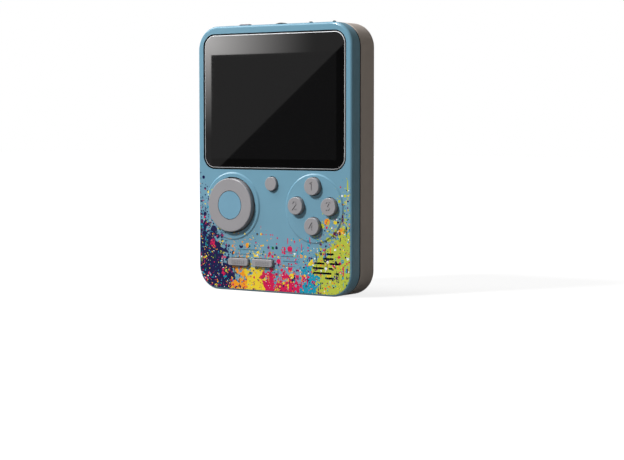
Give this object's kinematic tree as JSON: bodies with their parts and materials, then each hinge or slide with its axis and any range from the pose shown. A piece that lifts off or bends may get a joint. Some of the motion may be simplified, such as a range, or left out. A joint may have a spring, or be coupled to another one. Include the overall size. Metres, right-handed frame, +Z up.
{
  "type": "handheld game console",
  "caption": "Upright pocket game console with a framed display over a tilting direction pad, push buttons, speaker slots, edge switch and wheel, and a hinged battery cover.",
  "frame": {"origin": "middle of the flat bottom edge, halfway through the thickness of the case", "axes": "+Z up along the height, +X to the right seen from the screen side, +Y from the screen to the back"},
  "size_m": [0.0842, 0.0232, 0.1211],
  "materials": {
    "shell_blue": "satin moulded plastic with a printed pattern on the lower face",
    "shell_grey": "fine matt moulded plastic",
    "button_grey": "matt moulded plastic",
    "cap_blue": "satin moulded plastic",
    "lens": "polished acrylic, printed black behind",
    "tape": "black foam tape",
    "frame_black": "matt moulded plastic",
    "display": "polished glass with polariser",
    "backlight": "white light guide in a tray",
    "flex": "polyimide film",
    "connector": "moulded plastic",
    "board": "green solder mask",
    "lands": "gold plate",
    "chips": "moulded epoxy",
    "crystal": "bright tinned steel",
    "chip_parts": "ceramic",
    "post": "moulded nylon",
    "silicone": "translucent silicone",
    "pills": "carbon-filled silicone",
    "black_plastic": "matt moulded plastic",
    "lamp": "smoked light pipe",
    "battery": "pouch in a printed sleeve",
    "speaker_metal": "zinc-plated steel",
    "speaker_mesh": "black woven mesh",
    "cone": "moulded film",
    "screws": "zinc-plated steel"
  },
  "bodies": {
    "case": {"front_shell": "shell_blue", "rear_shell": "shell_grey", "screen_lens": "lens", "lens_tape": "tape", "display_frame": "frame_black", "display_glass": "display", "backlight": "backlight", "display_flex": "flex", "flex_connector": "connector", "main_board": "board", "contact_lands": "lands", "processor": "chips", "memory_chip": "chips", "crystal": "crystal", "chip_parts": "chip_parts", "dpad_post": "post", "dpad_mat": "silicone", "action_mat": "silicone", "menu_mat": "silicone", "option_mat": "silicone", "power_switch": "black_plastic", "volume_control": "black_plastic", "status_lamp": "lamp", "charge_lamp": "lamp", "pad_port": "crystal", "charge_port": "crystal", "av_jack": "black_plastic", "battery": "battery", "contact_block": "connector", "battery_contacts": "lands", "speaker_mesh": "speaker_mesh", "speaker_basket": "speaker_metal", "speaker_cone": "cone", "speaker_magnet": "speaker_metal", "case_screws": "screws", "board_screws": "screws"},
    "cover": {"battery_cover": "shell_grey"},
    "pad_ball": {"dpad_ball": "post"},
    "pad": {"dpad_ring": "button_grey", "dpad_cap": "cap_blue", "dpad_pills": "pills"},
    "action_top": {"action_button_top": "button_grey", "action_pill_top": "pills"},
    "action_left": {"action_button_left": "button_grey", "action_pill_left": "pills"},
    "action_right": {"action_button_right": "button_grey", "action_pill_right": "pills"},
    "action_bottom": {"action_button_bottom": "button_grey", "action_pill_bottom": "pills"},
    "menu": {"menu_button": "button_grey", "menu_pill": "pills"},
    "select": {"select_button": "button_grey", "select_pill": "pills"},
    "start": {"start_button": "button_grey", "start_pill": "pills"},
    "power": {"power_knob": "button_grey"},
    "volume": {"volume_wheel": "black_plastic"}
  },
  "joints": [
    {"name": "cover_hinge", "type": "hinge", "parent": "case", "child": "cover", "pos_m": [0, 0.0103, 0.01], "axis": [-1, 0, 0], "range_deg": [0, 75]},
    {"name": "pad_tilt_up_down", "type": "hinge", "parent": "case", "child": "pad_ball", "pos_m": [-0.02235, -0.006, 0.03895], "axis": [1, 0, 0], "range_deg": [-4, 4], "stiffness_Nm_per_rad": 0.2},
    {"name": "pad_tilt_left_right", "type": "hinge", "parent": "pad_ball", "child": "pad", "pos_m": [-0.02235, -0.006, 0.03895], "axis": [0, 0, 1], "range_deg": [-4, 4], "stiffness_Nm_per_rad": 0.2},
    {"name": "action_top_press", "type": "slide", "parent": "case", "child": "action_top", "axis": [0, 1, 0], "range_m": [0, 0.001], "stiffness_N_per_m": 900},
    {"name": "action_left_press", "type": "slide", "parent": "case", "child": "action_left", "axis": [0, 1, 0], "range_m": [0, 0.001], "stiffness_N_per_m": 900},
    {"name": "action_right_press", "type": "slide", "parent": "case", "child": "action_right", "axis": [0, 1, 0], "range_m": [0, 0.001], "stiffness_N_per_m": 900},
    {"name": "action_bottom_press", "type": "slide", "parent": "case", "child": "action_bottom", "axis": [0, 1, 0], "range_m": [0, 0.001], "stiffness_N_per_m": 900},
    {"name": "menu_press", "type": "slide", "parent": "case", "child": "menu", "axis": [0, 1, 0], "range_m": [0, 0.0006], "stiffness_N_per_m": 900},
    {"name": "select_press", "type": "slide", "parent": "case", "child": "select", "axis": [0, 1, 0], "range_m": [0, 0.0007], "stiffness_N_per_m": 900},
    {"name": "start_press", "type": "slide", "parent": "case", "child": "start", "axis": [0, 1, 0], "range_m": [0, 0.0007], "stiffness_N_per_m": 900},
    {"name": "power_slide", "type": "slide", "parent": "case", "child": "power", "axis": [1, 0, 0], "range_m": [0, 0.0025]},
    {"name": "volume_turn", "type": "hinge", "parent": "case", "child": "volume", "pos_m": [-0.0019, -0.0005, 0.1131], "axis": [0, 1, 0], "range_deg": [-140, 140]}
  ]
}
